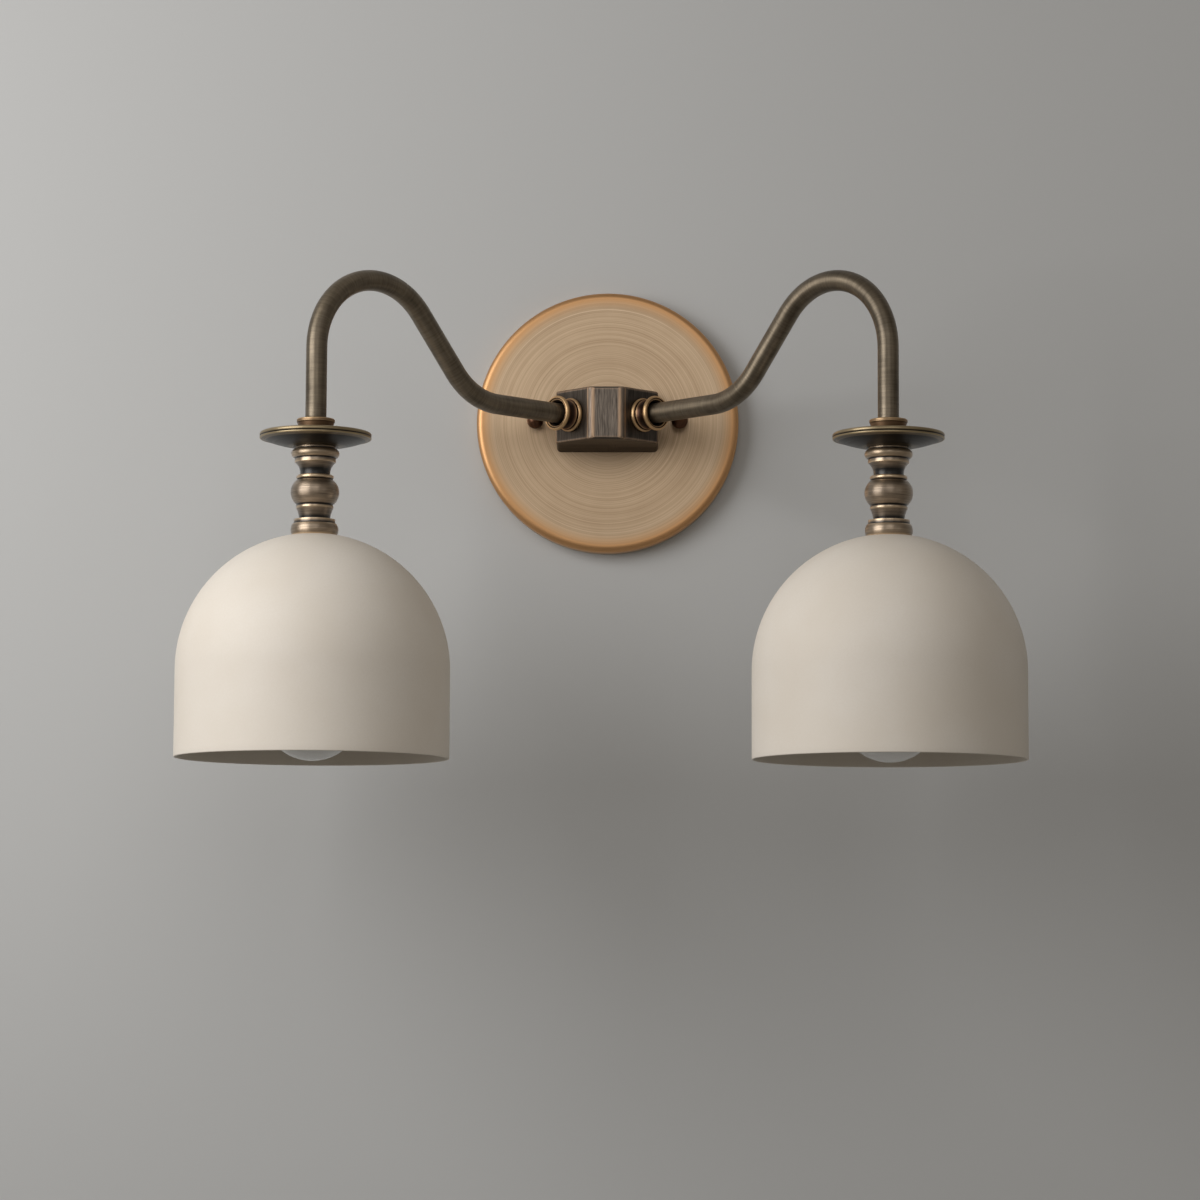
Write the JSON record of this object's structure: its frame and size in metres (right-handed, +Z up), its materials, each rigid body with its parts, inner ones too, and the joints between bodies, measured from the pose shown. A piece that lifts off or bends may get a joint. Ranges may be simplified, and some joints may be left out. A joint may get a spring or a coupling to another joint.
{
  "type": "double arm wall sconce",
  "caption": "Wall sconce with a round backplate, a faceted body, arched tube arms, dished pans, turned necks and dome shades that shine downwards.",
  "frame": {"origin": "centre of the backplate, in the plane of the wall", "axes": "+X to the viewer's right, -Y out of the wall towards the viewer, +Z up"},
  "size_m": [0.378, 0.203, 0.2355],
  "materials": {
    "plate_brass": "brushed antique brass, lacquered",
    "knob_copper": "dark copper brown, polished",
    "dark_bronze": "oil-rubbed bronze, brushed, worn on its edges",
    "collar_brass": "burnished copper brown brass",
    "aged_brass": "turned and aged brass, lacquered",
    "shade_cream": "matte cream powder coat, inside and outside",
    "zinc_steel": "zinc-plated steel",
    "ground_green": "green-dyed zinc plating",
    "raw_brass": "plain machined brass",
    "cap_brass": "drawn brass cap",
    "phenolic": "moulded black phenolic",
    "shell_aluminium": "rolled aluminium",
    "opal_glass": "frosted opal glass",
    "bulb_button": "black glass insulator with a solder point",
    "lead_black": "black insulated lead",
    "lead_white": "white insulated lead",
    "nylon_black": "moulded nylon",
    "nut_orange": "moulded thermoplastic"
  },
  "bodies": {
    "fixture": {"backplate": "plate_brass", "body_screws": "zinc_steel", "canopy_studs": "zinc_steel", "cluster_body": "dark_bronze", "crossbar": "zinc_steel", "ground_screw": "ground_green", "lead_bushing": "nylon_black", "left_arm": "dark_bronze", "left_centre_contact": "raw_brass", "left_collar": "collar_brass", "left_holder_cap": "cap_brass", "left_insulator": "phenolic", "left_live_lead": "lead_black", "left_neck": "aged_brass", "left_neutral_lead": "lead_white", "left_nipple": "zinc_steel", "left_pan": "aged_brass", "left_ring_collar": "collar_brass", "left_screw_shell": "shell_aluminium", "left_set_screw": "zinc_steel", "left_shade": "shade_cream", "left_shade_nut": "zinc_steel", "left_shade_washer": "zinc_steel", "left_terminal_screws": "raw_brass", "live_wire_nut": "nut_orange", "neutral_wire_nut": "nut_orange", "right_arm": "dark_bronze", "right_centre_contact": "raw_brass", "right_collar": "collar_brass", "right_holder_cap": "cap_brass", "right_insulator": "phenolic", "right_live_lead": "lead_black", "right_neck": "aged_brass", "right_neutral_lead": "lead_white", "right_nipple": "zinc_steel", "right_pan": "aged_brass", "right_ring_collar": "collar_brass", "right_screw_shell": "shell_aluminium", "right_set_screw": "zinc_steel", "right_shade": "shade_cream", "right_shade_nut": "zinc_steel", "right_shade_washer": "zinc_steel", "right_terminal_screws": "raw_brass", "stud_lock_nuts": "zinc_steel"},
    "left_knob": {"left_knob": "knob_copper"},
    "right_knob": {"right_knob": "knob_copper"},
    "left_bulb": {"left_bulb_glass": "opal_glass", "left_bulb_cap": "shell_aluminium", "left_bulb_tip": "bulb_button"},
    "right_bulb": {"right_bulb_glass": "opal_glass", "right_bulb_cap": "shell_aluminium", "right_bulb_tip": "bulb_button"}
  },
  "joints": [
    {"name": "left_bulb_unscrew", "type": "slide", "parent": "fixture", "child": "left_bulb", "axis": [0, 0, -1], "range_m": [0, 0.024]},
    {"name": "left_knob_turn", "type": "hinge", "parent": "fixture", "child": "left_knob", "pos_m": [-0.03492, -0.0145, 0], "axis": [0, -1, 0], "continuous": true},
    {"name": "right_bulb_unscrew", "type": "slide", "parent": "fixture", "child": "right_bulb", "axis": [0, 0, -1], "range_m": [0, 0.024]},
    {"name": "right_knob_turn", "type": "hinge", "parent": "fixture", "child": "right_knob", "pos_m": [0.03492, -0.0145, 0], "axis": [0, -1, 0], "continuous": true}
  ]
}
